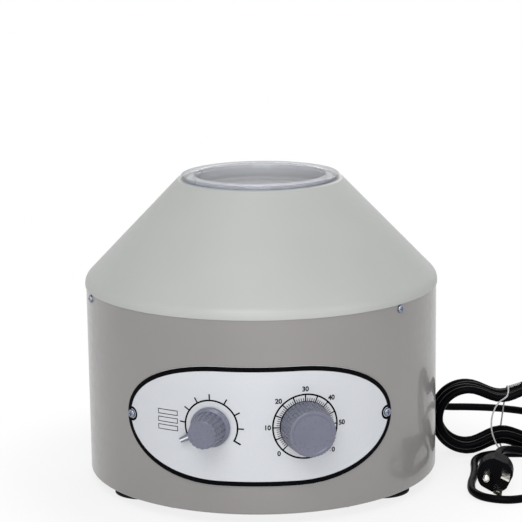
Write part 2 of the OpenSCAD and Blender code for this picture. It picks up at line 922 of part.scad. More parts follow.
// least gap between turns, on points four times as close as the rings
hank_fine = [for (i = [0:0.25:hank_last]) hank_point(i)];
hank_gap = min([for (i = [0:len(hank_fine) - 1], j = [i + 24:1:len(hank_fine) - 1])
    norm(hank_fine[i] - hank_fine[j])]) - cord_d;
echo(hank_least_gap = hank_gap);
echo(lead = route_length(lead_route), hank = route_length(hank_route), tail = route_length(tail_route));

module cord_lead() {
    color([0.05, 0.05, 0.05])
    tube(lead_route, cord_r, 8, [0, 0, 1]);
}

module cord_hank() {
    color([0.05, 0.05, 0.05])
    tube(hank_route, cord_r, 6, [0, 1, 0]);
}

module cord_tail() {
    color([0.05, 0.05, 0.05])
    tube(tail_route, cord_r, 8, [0, 0, 1]);
}

// flat tie round the hank's waist; the tail runs under it
module cord_tie() {
    low = [hank_at[1] - hank_layer * (hank_loops - 1) - cord_r - tie_gap, tie_z[0]];
    high = [hank_at[1] + cord_r + tie_gap, tie_z[1]];
    color([0.70, 0.70, 0.69])
    translate([hank_at[0] - tie_w / 2, 0, 0])
        rotate([90, 0, 90])
            linear_extrude(tie_w)
                difference() {
                    polygon(rounded([
                        [low[0] - tie_t, low[1] - tie_t, 3.6], [high[0] + tie_t, low[1] - tie_t, 3.6],
                        [high[0] + tie_t, high[1] + tie_t, 3.6], [low[0] - tie_t, high[1] + tie_t, 3.6]
                    ]));
                    polygon(rounded([
                        [low[0], low[1], 2.9], [high[0], low[1], 2.9],
                        [high[0], high[1], 2.9], [low[0], high[1], 2.9]
                    ]));
                }
}

// plug frame: z runs from the cord to the face, y towards the ground pin
module plug_frame() {
    translate(plug_rear)
        rotate([0, 0, -plug_yaw])
            rotate([90, 0, 0])
                rotate([0, 0, plug_roll])
                    children();
}

module power_plug() {
    color([0.06, 0.06, 0.06])
    plug_frame()
        difference() {
            intersection() {
                spin([
                    [0, 0, 0], [3.8, 0, 0.3], [5, plug_relief, 0], [9, plug_relief + 4, 3],
                    [plug_r, plug_relief + 12, 4], [plug_r, plug_face, 1], [0, plug_face, 0]
                ]);
                translate([0, 0, -1])
                    linear_extrude(plug_face + 2)
                        polygon(rounded([[-12.6, -11.8, 5], [12.6, -11.8, 5], [11, 14, 8], [-11, 14, 8]]));
            }
            for (k = [0:2])
                translate([0, 0, 4 + 4 * k])
                    spin([[3.6, 0, 0], [8, 0, 0], [8, 1.6, 0], [3.6, 1.6, 0]]);
            for (side = [-1, 1])
                translate([side * blade_apart / 2, -ground_off / 2, plug_face - 6])
                    linear_extrude(7)
                        square([blade[1] + 0.1, blade[0] + 0.1], center = true);
            translate([0, ground_off / 2, plug_face - 6])
                cylinder(r = ground_r + fit, h = 7, $fn = 32);
        }
}

// two flat blades with a hole near the tip
module plug_blades() {
    color([0.80, 0.78, 0.70])
    plug_frame()
        for (side = [-1, 1])
            translate([side * blade_apart / 2, -ground_off / 2, plug_face - 6])
                difference() {
                    translate([-blade[1] / 2, -blade[0] / 2, 0])
                        cube([blade[1], blade[0], blade[2] + 6]);
                    translate([0, 0, blade[2] + 2.5])
                        rotate([0, 90, 0])
                            cylinder(r = 1.5, h = 10, center = true, $fn = 24);
                }
}

module ground_pin() {
    color([0.80, 0.78, 0.70])
    plug_frame()
        translate([0, ground_off / 2, 0])
            spin([
                [0, plug_face - 6, 0], [ground_r, plug_face - 6, 0],
                [ground_r, plug_face + ground_len, 2], [0, plug_face + ground_len, 0]
            ]);
}

// steel hub on the shaft: the head sits on its shoulder, round its neck
module rotor_hub() {
    color([0.72, 0.73, 0.74])
    spin([
        [shaft_r + fit, hub_z, 0], [hub_r, hub_z, 1], [hub_r, hub_seat, 0], [hub_neck_r, hub_seat, 0],
        [hub_neck_r, hub_top - 0.2, 0.4], [shaft_r + fit, hub_top - 0.2, 0]
    ]);
}

// angle head: a dish square to the sleeves and six seated bores
module rotor_head() {
    outer_top = along_sleeve(head_front, head_half);
    outer_low = along_sleeve(head_back, head_half);
    inner_low = along_sleeve(head_back, -head_half);
    dish_foot = mouth_z - mouth_r - head_front * 2 * cos(sleeve_tilt);
    color([0.16, 0.17, 0.19])
    difference() {
        spin([
            [hub_neck_r + fit, hub_seat, 0], [hub_r + 1, hub_seat, 0.5],
            [inner_low[0], inner_low[1], 4], [outer_low[0], outer_low[1], 3],
            [outer_top[0], outer_top[1], 3], [18, 18 + dish_foot, 3], [hub_r, hub_top, 0],
            [hub_neck_r + fit, hub_top, 0]
        ]);
        for (k = [0:places - 1])
            on_sleeve(k) {
                translate([0, 0, -70])
                    cylinder(r = sleeve_r + fit, h = 90);
                translate([0, 0, -seat_down])
                    cylinder(r = collar_r + 0.5, h = 30);
            }
    }
}

// tube sleeve: closed round end, collar that seats in the head, open mouth
module tube_sleeve(k) {
    end = sleeve_r - sleeve_len;
    color([0.55, 0.68, 0.78])
    on_sleeve(k)
        difference() {
            union() {
                translate([0, 0, end])
                    cylinder(r = sleeve_r, h = -end);
                translate([0, 0, end])
                    sphere(r = sleeve_r);
                translate([0, 0, -seat_down])
                    cylinder(r = collar_r, h = collar_t);
            }
            translate([0, 0, end])
                cylinder(r = sleeve_bore_r, h = 1 - end);
            translate([0, 0, end])
                sphere(r = sleeve_bore_r);
        }
}

// flat washer that spans the hub's neck and clamps the head
module rotor_washer() {
    color([0.80, 0.81, 0.83])
    spin([
        [shaft_r + fit, hub_top, 0], [hub_r - 0.5, hub_top, 0],
        [hub_r - 0.5, nut_z, 0.4], [shaft_r + fit, nut_z, 0]
    ]);
}

// domed hex nut that clamps washer, head and hub on the shaft
module rotor_nut() {
    top = nut_h + nut_dome;
    color([0.80, 0.81, 0.83])
    translate([0, 0, nut_z])
        difference() {
            union() {
                cylinder(r = 8, h = nut_h, $fn = 6);
                spin([[0, nut_h - 0.01, 0], [6.6, nut_h - 0.01, 0], [6.6, top, 5], [0, top, 0]]);
            }
            translate([0, 0, -1])
                cylinder(r = shaft_r + fit, h = nut_h + 2, $fn = 48);
        }
}

module motor_shaft() {
    color([0.78, 0.79, 0.80])
    spin([
        [0, mount_top + 2, 0], [shaft_r, mount_top + 2, 0.6],
        [shaft_r, shaft_top, 0.6], [0, shaft_top, 0]
    ]);
}

// slotted lamination stack
module armature_core() {
    slots = 12;
    color([0.42, 0.42, 0.44])
    translate([0, 0, core_z[0]])
        linear_extrude(core_z[1] - core_z[0])
            difference() {
                circle(r = bore_r);
                circle(r = shaft_r + fit, $fn = 48);
                for (k = [0:slots - 1])
                    rotate(360 / slots * k) {
                        translate([16, 0])
                            circle(r = 2.6, $fn = 24);
                        translate([20, 0])
                            square([8, 1.6], center = true);
                    }
            }
}

// end turns of the winding, above and below the stack
module armature_winding() {
    color([0.72, 0.45, 0.20])
    for (ends = [[34.6, core_z[0] - 0.1], [core_z[1] + 0.1, 71.6]])
        spin([
            [shaft_r + fit, ends[0], 0], [18, ends[0], 2], [19, (ends[0] + ends[1]) / 2, 2],
            [18, ends[1], 2], [shaft_r + fit, ends[1], 0]
        ]);
}

// copper segments with slits between them
module commutator() {
    bars = 24;
    color([0.75, 0.48, 0.26])
    difference() {
        spin([
            [shaft_r + fit, comm_z[0], 0], [comm_r, comm_z[0], 0.4],
            [comm_r, comm_z[1], 0.4], [shaft_r + fit, comm_z[1], 0]
        ]);
        for (k = [0:bars - 1])
            rotate([0, 0, 360 / bars * k])
                translate([comm_r - 1, -0.25, comm_z[0] - 1])
                    cube([4, 0.5, 12]);
    }
}

// clear moulded lid: a flat flange and a dish that drops into the opening
module lid() {
    top = cone_top_z + lid_flange;
    color([0.86, 0.87, 0.92, 0.45])
    spin([
        [0, top - lid_dish - 2.2, 0], [49.4, top - lid_dish - 2.2, 3.5], [50.2, cone_top_z, 0.6],
        [lid_r, cone_top_z, 0.8], [lid_r, top, 1.3], [48.6, top, 1.2],
        [47.4, top - lid_dish, 2.4], [0, top - lid_dish, 0]
    ]);
}

body_shell();
base_plate();
base_screws();
top_cone();
rim_screws();
chamber_bowl();
shaft_seal();
foot(foot_az[0]);  // foot_front_left
foot(foot_az[1]);  // foot_front_right
foot(foot_az[2]);  // foot_rear
foot_screws();
control_panel();
panel_screws();
speed_pot();
pot_nut();
timer_case();
timer_screws();
motor_can();
motor_lower_bell();
motor_upper_bell();
motor_mounts();
motor_screws();
field_core();
field_coils();
color([0.70, 0.72, 0.74]) bearing(lower_seat);  // lower_bearing
color([0.70, 0.72, 0.74]) bearing(upper_seat);  // upper_bearing
brush_holders();
carbon_brushes();
speed_board();
board_standoffs();
heat_sink();
capacitor();
strain_relief();
cord_lead();
cord_hank();
cord_tail();
cord_tie();
power_plug();
plug_blades();
ground_pin();
rotor_hub();
rotor_head();
tube_sleeve(0);  // tube_sleeve_1
tube_sleeve(1);  // tube_sleeve_2
tube_sleeve(2);  // tube_sleeve_3
tube_sleeve(3);  // tube_sleeve_4
tube_sleeve(4);  // tube_sleeve_5
tube_sleeve(5);  // tube_sleeve_6
rotor_washer();
rotor_nut();
motor_shaft();
armature_core();
armature_winding();
commutator();
lid();
speed_knob();
pot_shaft();
timer_knob();
timer_shaft();
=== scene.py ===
"""Looks of a low speed bench centrifuge, built round its fixed frame, in metres."""

import math

import bmesh
import bpy
from mathutils import Matrix, Vector


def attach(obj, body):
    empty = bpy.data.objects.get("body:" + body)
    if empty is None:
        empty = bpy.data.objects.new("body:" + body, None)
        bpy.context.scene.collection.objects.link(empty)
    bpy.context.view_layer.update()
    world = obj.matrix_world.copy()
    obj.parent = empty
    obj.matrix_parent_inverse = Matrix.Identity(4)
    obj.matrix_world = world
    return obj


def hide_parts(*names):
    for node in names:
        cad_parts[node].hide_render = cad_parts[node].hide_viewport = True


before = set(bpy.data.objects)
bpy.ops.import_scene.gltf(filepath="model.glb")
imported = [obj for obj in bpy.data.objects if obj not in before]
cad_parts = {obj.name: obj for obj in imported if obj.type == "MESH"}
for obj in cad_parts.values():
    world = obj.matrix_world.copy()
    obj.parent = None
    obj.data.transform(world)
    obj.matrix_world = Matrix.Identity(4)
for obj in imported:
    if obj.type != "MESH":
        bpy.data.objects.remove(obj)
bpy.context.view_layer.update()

# sizes that the solids share, in metres, with the prints just over the panel's face
BODY_R = 0.130
PANEL_PROUD = 0.00085
PRINT_LIFT = 0.00008
PRINT_R = BODY_R + PANEL_PROUD + PRINT_LIFT
PANEL_Z = 0.0717
DIAL_Z = 0.0712
DIAL_AZ = math.radians(14.5)
DIAL_ARC = BODY_R * DIAL_AZ
SCREW_AZ = math.radians(43.4)
SCREW_Z = 0.072
POINTER_AZ = math.radians(206)
POINTER_TOP = 0.0040
LID_DISH_R = 0.0484
LID_R = 0.0585

# the camera of the photograph, fitted to the seam, cone, lid, dials and feet
CAMERA_AT = (0.0374, -1.4272, 0.4599)
CAMERA_TURN = math.radians(1.5)
CAMERA_DOWN = math.radians(11.81)
CAMERA_ROLL = math.radians(0.73)
CAMERA_LENS = 135.2

# the mains cord: its route on the floor, a hank, and its way to the plug
CORD_D = 0.006
LAY_Z = 0.0032
LEAD_ROUTE = [
    (0.096, 0.128, 0.033), (0.102, 0.136, 0.033), (0.109, 0.143, 0.031), (0.117, 0.149, 0.025),
    (0.122, 0.152, 0.018), (0.128, 0.154, 0.011), (0.138, 0.156, 0.005), (0.150, 0.156, 0.0032),
    (0.165, 0.155, 0.0032), (0.181, 0.153, 0.0032), (0.196, 0.149, 0.0032), (0.211, 0.142, 0.0032),
    (0.224, 0.132, 0.0032), (0.233, 0.119, 0.0032), (0.238, 0.104, 0.0032), (0.239, 0.087, 0.0032),
    (0.239, 0.070, 0.0032), (0.237, 0.061, 0.0032), (0.232, 0.052, 0.0032), (0.225, 0.047, 0.0032),
    (0.218, 0.046, 0.0032), (0.215, 0.046, 0.0032),
]
TAIL_ROUTE = [
    (0.203, 0.025, 0.0032), (0.194, 0.025, 0.0032), (0.184, 0.025, 0.0032), (0.175, 0.023, 0.0032),
    (0.167, 0.018, 0.0032), (0.162, 0.010, 0.0032), (0.160, 0.001, 0.0032), (0.159, -0.014, 0.0032),
    (0.157, -0.030, 0.0032), (0.154, -0.046, 0.0032), (0.153, -0.061, 0.0032), (0.155, -0.070, 0.0032),
    (0.160, -0.078, 0.0032), (0.168, -0.083, 0.0032), (0.177, -0.085, 0.0032), (0.186, -0.083, 0.0032),
    (0.194, -0.078, 0.0032), (0.199, -0.070, 0.0032), (0.201, -0.061, 0.0032), (0.204, -0.048, 0.0032),
    (0.213, -0.035, 0.0032), (0.222, -0.022, 0.0032), (0.225, -0.009, 0.0032), (0.223, 0.000, 0.0034),
    (0.218, 0.008, 0.0044), (0.210, 0.013, 0.0060), (0.201, 0.015, 0.0080), (0.192, 0.013, 0.0100),
    (0.184, 0.008, 0.0117), (0.179, 0.000, 0.0127), (0.177, -0.009, 0.0130), (0.176, -0.016, 0.0130),
]
HANK_LOOPS = 4
LOOP_STEPS = 96
FOLD_R = 0.020
HANK_STEP = 0.0074
HANK_LAYER = 0.007
HANK_RUN = 0.026
HANK_WAIST = 0.0075
HANK_AT = Vector((0.183, 0.046, LAY_Z + FOLD_R + HANK_STEP))

# the tie's loop and its twisted ends, from the hank's middle
TIE_R = 0.00062
TIE_LOOP = [
    (0.0050, -0.016, 0.0206), (0.0030, -0.0238, 0.0189), (-0.0030, -0.0249, 0.0145),
    (-0.0068, -0.0250, 0.008), (-0.0085, -0.0250, 0.000), (-0.0080, -0.0250, -0.009),
    (-0.0050, -0.0248, -0.0175), (-0.0020, -0.0236, -0.0226), (0.0000, -0.0200, -0.0236),
    (0.0000, -0.0100, -0.0238), (0.0000, 0.0000, -0.0235), (0.0002, 0.0032, -0.0220),
    (0.0010, 0.0039, -0.0160), (0.0030, 0.0040, 0.0000), (0.0050, 0.0038, 0.0150),
    (0.0058, 0.0018, 0.0200), (0.0060, -0.0050, 0.0208),
]
TIE_TWIST = ((0.0066, -0.0062, 0.0216), (0.0150, -0.0075, 0.0247))
TIE_TURNS = 3
TIE_STEPS = 48
TIE_SPREAD = 1.05

# prints on the control panel; a mark is cut into strips to follow the drum
STRIP = 0.002
BORDER_INNER = (0.0272, 0.0722, 0.0392)
BORDER_OUTER = (0.0275, 0.0751, 0.0426)
NOTCH_R = 0.00435
NOTCH_WIDTH = 0.0017
NOTCH_START = 80
NOTCH_END = 280

# the speed scale, with angles in degrees, counterclockwise from the right
SPEED_R = 0.0188
SPEED_WIDTH = 0.0012
SPEED_START = 205
SPEED_END = -30
SPEED_TICKS = (175, 146, 120, 92, 60, 28, -2)
SPEED_TICK_R = 0.0232
SPEED_TICK_WIDTH = 0.0010
SPEED_LAST_R0 = 0.0182
SPEED_LAST_R1 = 0.0240

# the timer scale; a tick has its outer radius and its width
TIMER_RING_R = 0.0228
TIMER_RING_WIDTH = 0.0012
TIMER_ARC_R = 0.0174
TIMER_ARC_WIDTH = 0.0015
TIMER_START = 225
TIMER_STEP = 4.5
TIMER_MINUTES = 60
TIMER_TICK_R = 0.0176
LONG_TICK = (0.0226, 0.0009)
SHORT_TICK = (0.0204, 0.0005)
NUMBER_R = 0.0265
NUMBER_HEIGHT = 0.0034
NUMBER_WEIGHT = 0.00018
DIGIT_SHARE = 0.72

# the empty boxes and the speed pointer's line
BOX_LEFT = -0.0737
BOX_RIGHT = -0.0576
BOX_LOWS = (0.0655, 0.0710, 0.0766)
BOX_HEIGHT = 0.0037
BOX_WIDTH = 0.0005
LINE_START = 0.0146
LINE_END = 0.0239
LINE_HALF_WIDTH = 0.00055
LINE_SUNK = 0.00005
LINE_PROUD = 0.00008

# the part of a noise's range that a finish uses
NOISE_LOW = 0.3
NOISE_HIGH = 0.7

# the lid's colours: painted light in the dish, a grey on the flange that is partly tint and partly
# painted shade, painted shade on the rim, and where grey starts and ends on the way out from just
# inside the dish's edge to the rim
LID_BANDS_R = LID_DISH_R - 0.001
LID_DISH_PAINTED_LIGHT = (0.97, 0.97, 0.98, 1)
LID_TINT_AND_PAINTED_SHADE = (0.66, 0.68, 0.74, 1)
LID_RIM_PAINTED_SHADE = (0.30, 0.32, 0.40, 1)
LID_SHADE_START = 0.15
LID_SHADE_END = 0.88

# each lamp's name, place, target, size and power
LAMPS = [
    ("key", (-0.25, -1.3, 1.45), (0, 0, 0.1), 1.1, 14.0),
    ("low", (0.0, -1.3, 0.22), (0, 0, 0.04), 0.8, 5.0),
    ("side", (1.3, -0.7, 0.8), (0, 0, 0.1), 0.8, 2),
    ("rear", (0.3, 1.4, 1.2), (0, 0, 0.1), 1.0, 9),
]
WORLD_LIGHT = 0.42

# the floor is pale up to the first radius and white from the second
FLOOR_REACH = 3.0
FLOOR_PALE_R = 0.15
FLOOR_WHITE_R = 0.25
FLOOR_WHITE_NEAR = 0.80


# small builders

def mesh_piece(name, verts, faces, material, smooth=True):
    """A mesh object from points and faces, given in the row frame."""
    mesh = bpy.data.meshes.new(name)
    mesh.from_pydata([tuple(v) for v in verts], [], faces)
    mesh.materials.append(material)
    if smooth:
        mesh.shade_smooth()
    mesh.update()
    piece = bpy.data.objects.new(name, mesh)
    bpy.context.scene.collection.objects.link(piece)
    return piece


def curve_piece(name, points, radius, material, resolution=4, closed=False):
    """A round tube along points, as a curve of one spline."""
    curve = bpy.data.curves.new(name, "CURVE")
    curve.dimensions = "3D"
    curve.bevel_depth = radius
    curve.bevel_resolution = resolution
    curve.use_fill_caps = True
    spline = curve.splines.new("POLY")
    spline.points.add(len(points) - 1)
    for at, p in zip(spline.points, points):
        at.co = (*p, 1)
    spline.use_cyclic_u = closed
    curve.materials.append(material)
    piece = bpy.data.objects.new(name, curve)
    bpy.context.scene.collection.objects.link(piece)
    return piece


def smooth_route(route, steps=5, closed=False):
    """Points on a Catmull-Rom curve through a route."""
    p = [Vector(q) for q in route]
    if closed:
        p = [p[-1]] + p + p[:2]
    else:
        p = [2 * p[0] - p[1]] + p + [2 * p[-1] - p[-2]]
    points = []
    for a, b, c, d in zip(p, p[1:], p[2:], p[3:]):
        for k in range(steps):
            t = k / steps
            points.append(
                0.5 * (2 * b + (c - a) * t + (2 * a - 5 * b + 4 * c - d) * t * t
                       + (3 * b - a - 3 * c + d) * t ** 3)
            )
    return points if closed else points + [p[-2]]


# materials

def material_of(name, color, roughness, metallic=0.0, **sockets):
    """A principled material; other sockets are named with underscores for spaces."""
    material = bpy.data.materials.new(name)
    material.use_nodes = True
    shader = material.node_tree.nodes["Principled BSDF"]
    shader.inputs["Base Color"].default_value = (*color, 1)
    shader.inputs["Roughness"].default_value = roughness
    shader.inputs["Metallic"].default_value = metallic
    for socket, value in sockets.items():
        shader.inputs[socket.replace("_", " ")].default_value = value
    return material


def link(material, out_node, out_socket, in_node, in_socket):
    material.node_tree.links.new(out_node.outputs[out_socket], in_node.inputs[in_socket])


def noise(material, scale, detail=3.0, stretch=(1, 1, 1)):
    """Noise in the object's own coordinates; scale is in features per metre."""
    tree = material.node_tree
    coords = tree.nodes.new("ShaderNodeTexCoord")
    mapping = tree.nodes.new("ShaderNodeMapping")
    mapping.inputs["Scale"].default_value = stretch
    texture = tree.nodes.new("ShaderNodeTexNoise")
    texture.inputs["Scale"].default_value = scale
    texture.inputs["Detail"].default_value = detail
    link(material, coords, "Object", mapping, "Vector")
    link(material, mapping, "Vector", texture, "Vector")
    return texture


def vary_color(material, texture, dark, light):
    """Colours the surface between dark and light by a texture's value."""
    tree = material.node_tree
    ramp = tree.nodes.new("ShaderNodeValToRGB")
    ramp.color_ramp.elements[0].position = NOISE_LOW
    ramp.color_ramp.elements[0].color = (*dark, 1)
    ramp.color_ramp.elements[1].position = NOISE_HIGH
    ramp.color_ramp.elements[1].color = (*light, 1)
    link(material, texture, 0, ramp, "Fac")
    link(material, ramp, "Color", tree.nodes["Principled BSDF"], "Base Color")


def vary_roughness(material, texture, smooth, rough):
    """Makes the surface smoother or rougher by a texture's value."""
    tree = material.node_tree
    span = tree.nodes.new("ShaderNodeMapRange")
    span.inputs["From Min"].default_value = NOISE_LOW
    span.inputs["From Max"].default_value = NOISE_HIGH
    span.inputs["To Min"].default_value = smooth
    span.inputs["To Max"].default_value = rough
    link(material, texture, 0, span, "Value")
    link(material, span, "Result", tree.nodes["Principled BSDF"], "Roughness")


def bump(material, texture, strength, depth):
    """Makes the surface look raised and sunk by a texture's value; depth is in metres."""
    tree = material.node_tree
    relief = tree.nodes.new("ShaderNodeBump")
    relief.inputs["Strength"].default_value = strength
    relief.inputs["Distance"].default_value = depth
    link(material, texture, 0, relief, "Height")
    link(material, relief, "Normal", tree.nodes["Principled BSDF"], "Normal")


def tinted(color, factor):
    return tuple(min(1.0, c * factor) for c in color)


def paint(name, color, roughness, coat):
    """Sprayed and baked paint: faint orange peel, faint clouding, a glossy film."""
    material = material_of(name, color, roughness, Coat_Weight=coat, Coat_Roughness=0.08)
    clouds = noise(material, scale=9, detail=2)
    vary_color(material, clouds, tinted(color, 0.955), tinted(color, 1.045))
    film = noise(material, scale=160, detail=4)
    vary_roughness(material, film, roughness - 0.04, roughness + 0.05)
    peel = noise(material, scale=700, detail=2)
    bump(material, peel, strength=0.12, depth=0.0002)
    return material


def moulded(name, color, roughness, grain=1500.0, **sockets):
    """Moulded plastic or rubber with a fine grain."""
    material = material_of(name, color, roughness, **sockets)
    tone = noise(material, scale=60, detail=4)
    vary_color(material, tone, tinted(color, 0.92), tinted(color, 1.08))
    gloss = noise(material, scale=300, detail=4)
    vary_roughness(material, gloss, roughness - 0.05, roughness + 0.07)
    bump(material, noise(material, grain), strength=0.15, depth=0.0001)
    return material


def metal(name, color, roughness, stretch=(1, 1, 1), grain=900.0, metallic=1.0):
    """Bare metal; a stretched grain gives brushing or turning marks."""
    material = material_of(name, color, roughness, metallic)
    texture = noise(material, grain, 4, stretch)
    vary_color(material, texture, tinted(color, 0.94), tinted(color, 1.04))
    vary_roughness(material, texture, roughness - 0.05, roughness + 0.08)
    bump(material, texture, strength=0.08, depth=0.0001)
    return material


BODY_PAINT = paint("body_paint", (0.256, 0.244, 0.236), 0.38, 0.5)
CONE_PAINT = paint("cone_paint", (0.465, 0.475, 0.452), 0.46, 0.08)
PANEL_METAL = metal("panel_metal", (0.628, 0.642, 0.668), 0.56, (1, 1, 30), 500, metallic=0.12)
PRINT_INK = moulded("print_ink", (0.002, 0.002, 0.003), 0.55, Specular_IOR_Level=0.03)
# the screws' chrome is darkened in colour as a painted reflection of dark surroundings
SCREW_CHROME_PAINTED_DARK = metal("screw_chrome", (0.25, 0.28, 0.34), 0.10)
ZINC = metal("zinc_steel", (0.60, 0.61, 0.62), 0.32)
BOWL_STEEL = metal("bowl_steel", (0.58, 0.59, 0.60), 0.30, (1, 1, 25), 400)
PLATE_STEEL = metal("plate_steel", (0.46, 0.47, 0.48), 0.42)
RUBBER = moulded("black_rubber", (0.008, 0.008, 0.009), 0.62, 900, Specular_IOR_Level=0.2)
CORD_JACKET = moulded("cord_jacket", (0.002, 0.002, 0.003), 0.30, 1200, Specular_IOR_Level=0.025)
PLUG_VINYL = moulded("plug_vinyl", (0.003, 0.003, 0.004), 0.42, 1400, Specular_IOR_Level=0.025)
TIE_VINYL = moulded("tie_vinyl", (0.46, 0.46, 0.45), 0.35)
CONTACT = metal("contact_metal", (0.72, 0.70, 0.64), 0.22, (1, 1, 1), 220)
KNOB_PLASTIC = moulded("knob_plastic", (0.148, 0.154, 0.208), 0.29, 2200, Specular_IOR_Level=0.55)
WHITE_INK = moulded("white_ink", (0.82, 0.82, 0.84), 0.40)
HEAD_METAL = metal("head_metal", (0.11, 0.12, 0.13), 0.36)
SLEEVE_METAL = metal("sleeve_metal", (0.38, 0.50, 0.60), 0.30)
TURNED_STEEL = metal("turned_steel", (0.70, 0.71, 0.72), 0.22, (1, 1, 30), 500)
CAST = metal("cast_metal", (0.58, 0.59, 0.60), 0.50, grain=500)
LAMINATION = metal("lamination", (0.20, 0.20, 0.21), 0.45, (1, 1, 40), 600)
COPPER = metal("copper", (0.66, 0.33, 0.14), 0.30)
BRASS = metal("brass", (0.70, 0.54, 0.24), 0.30)
CARBON = moulded("carbon", (0.03, 0.03, 0.032), 0.55)
MOTOR_PAINT = paint("motor_paint", (0.06, 0.07, 0.08), 0.40, 0.3)
DARK_PLASTIC = moulded("dark_plastic", (0.05, 0.052, 0.06), 0.45)
BOARD_GREEN = moulded("board_green", (0.02, 0.13, 0.055), 0.40)
NYLON = moulded("nylon", (0.70, 0.68, 0.60), 0.40)
YELLOW_FILM = moulded("yellow_film", (0.66, 0.55, 0.08), 0.32)


def lid_plastic():
    """Clear plastic, pale in the dish as painted light from the chamber below, a cooler grey on the
    flange that is partly tint and partly painted shade, and darker on its rim as painted shade.
    """
    material = material_of("lid_clear", (0.90, 0.905, 0.93), 0.06,
                           IOR=1.49, Alpha=0.63, Transmission_Weight=0.50)
    tree = material.node_tree
    coords = tree.nodes.new("ShaderNodeTexCoord")
    level = tree.nodes.new("ShaderNodeMapping")
    level.inputs["Scale"].default_value = (1, 1, 0)
    radius = tree.nodes.new("ShaderNodeVectorMath")
    radius.operation = "LENGTH"
    link(material, coords, "Object", level, "Vector")
    link(material, level, "Vector", radius, 0)
    across = tree.nodes.new("ShaderNodeMapRange")
    across.inputs["From Min"].default_value = LID_BANDS_R
    across.inputs["From Max"].default_value = LID_R
    link(material, radius, "Value", across, "Value")
    # painted light and shade: pale in the dish for the lit chamber seen through, grey on the flange,
    # dark on the rim for its dark refraction
    painted_light_bands = tree.nodes.new("ShaderNodeValToRGB")
    painted_light_bands.color_ramp.elements[0].color = LID_DISH_PAINTED_LIGHT
    painted_light_bands.color_ramp.elements[1].color = LID_RIM_PAINTED_SHADE
    for place in (LID_SHADE_START, LID_SHADE_END):
        painted_light_bands.color_ramp.elements.new(place).color = LID_TINT_AND_PAINTED_SHADE
    link(material, across, "Result", painted_light_bands, "Fac")
    link(material, painted_light_bands, "Color", tree.nodes["Principled BSDF"], "Base Color")
    vary_roughness(material, noise(material, scale=40, detail=2), 0.05, 0.08)
    return material


LID_CLEAR_PAINTED_LIGHT = lid_plastic()

NODE_MATERIALS = {
    BODY_PAINT: ["body_shell"],
    CONE_PAINT: ["top_cone"],
    PANEL_METAL: ["control_panel"],
    SCREW_CHROME_PAINTED_DARK: ["panel_screws", "rim_screws"],
    ZINC: ["base_screws", "foot_screws", "timer_screws", "motor_screws", "pot_nut"],
    BOWL_STEEL: ["chamber_bowl"],
    PLATE_STEEL: ["base_plate", "speed_pot"],
    RUBBER: ["foot_front_left", "foot_front_right", "foot_rear", "motor_mounts", "shaft_seal"],
    CORD_JACKET: ["strain_relief"],
    PLUG_VINYL: ["power_plug"],
    CONTACT: ["plug_blades", "ground_pin"],
    KNOB_PLASTIC: ["speed_knob", "timer_knob"],
    HEAD_METAL: ["rotor_head"],
    SLEEVE_METAL: [f"tube_sleeve_{k}" for k in range(1, 7)],
    TURNED_STEEL: ["rotor_hub", "rotor_washer", "rotor_nut", "motor_shaft", "pot_shaft", "timer_shaft",
                   "lower_bearing", "upper_bearing"],
    CAST: ["motor_lower_bell", "motor_upper_bell", "heat_sink"],
    LAMINATION: ["field_core", "armature_core"],
    COPPER: ["field_coils", "armature_winding", "commutator"],
    BRASS: ["brush_holders"],
    CARBON: ["carbon_brushes"],
    MOTOR_PAINT: ["motor_can"],
    DARK_PLASTIC: ["timer_case"],
    BOARD_GREEN: ["speed_board"],
    NYLON: ["board_standoffs"],
    YELLOW_FILM: ["capacitor"],
    LID_CLEAR_PAINTED_LIGHT: ["lid"],
}


def dress_nodes():
    """Gives every CAD node its material."""
    for material, names in NODE_MATERIALS.items():
        for name in names:
            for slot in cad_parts[name].material_slots:
                slot.material = material


# camera, light and floor

def add_camera():
    data = bpy.data.cameras.new("camera")
    data.sensor_width = 36
    data.lens = CAMERA_LENS
    camera = bpy.data.objects.new("camera", data)
    bpy.context.scene.collection.objects.link(camera)
    turn = Matrix.Rotation(CAMERA_TURN, 4, "Z")
    pitch = Matrix.Rotation(math.pi / 2 - CAMERA_DOWN, 4, "X")
    roll = Matrix.Rotation(-CAMERA_ROLL, 4, "Z")
    camera.matrix_world = Matrix.Translation(CAMERA_AT) @ turn @ pitch @ roll
    bpy.context.scene.camera = camera


def area_light(name, place, target, size, power):
    data = bpy.data.lights.new(name, "AREA")
    data.size = size
    data.energy = power
    lamp = bpy.data.objects.new(name, data)
    bpy.context.scene.collection.objects.link(lamp)
    toward = Vector(target) - Vector(place)
    lamp.matrix_world = Matrix.Translation(place) @ toward.to_track_quat("-Z", "Y").to_matrix().to_4x4()


def seen_ray(tree):
    """1 for camera, glossy and transmitted rays, which see the white background."""
    path = tree.nodes.new("ShaderNodeLightPath")
    add = [tree.nodes.new("ShaderNodeMath") for _ in range(2)]
    for node in add:
        node.operation = "ADD"
        node.use_clamp = True
    tree.links.new(path.outputs["Is Camera Ray"], add[0].inputs[0])
    tree.links.new(path.outputs["Is Glossy Ray"], add[0].inputs[1])
    tree.links.new(add[0].outputs[0], add[1].inputs[0])
    tree.links.new(path.outputs["Is Transmission Ray"], add[1].inputs[1])
    return add[1].outputs[0]


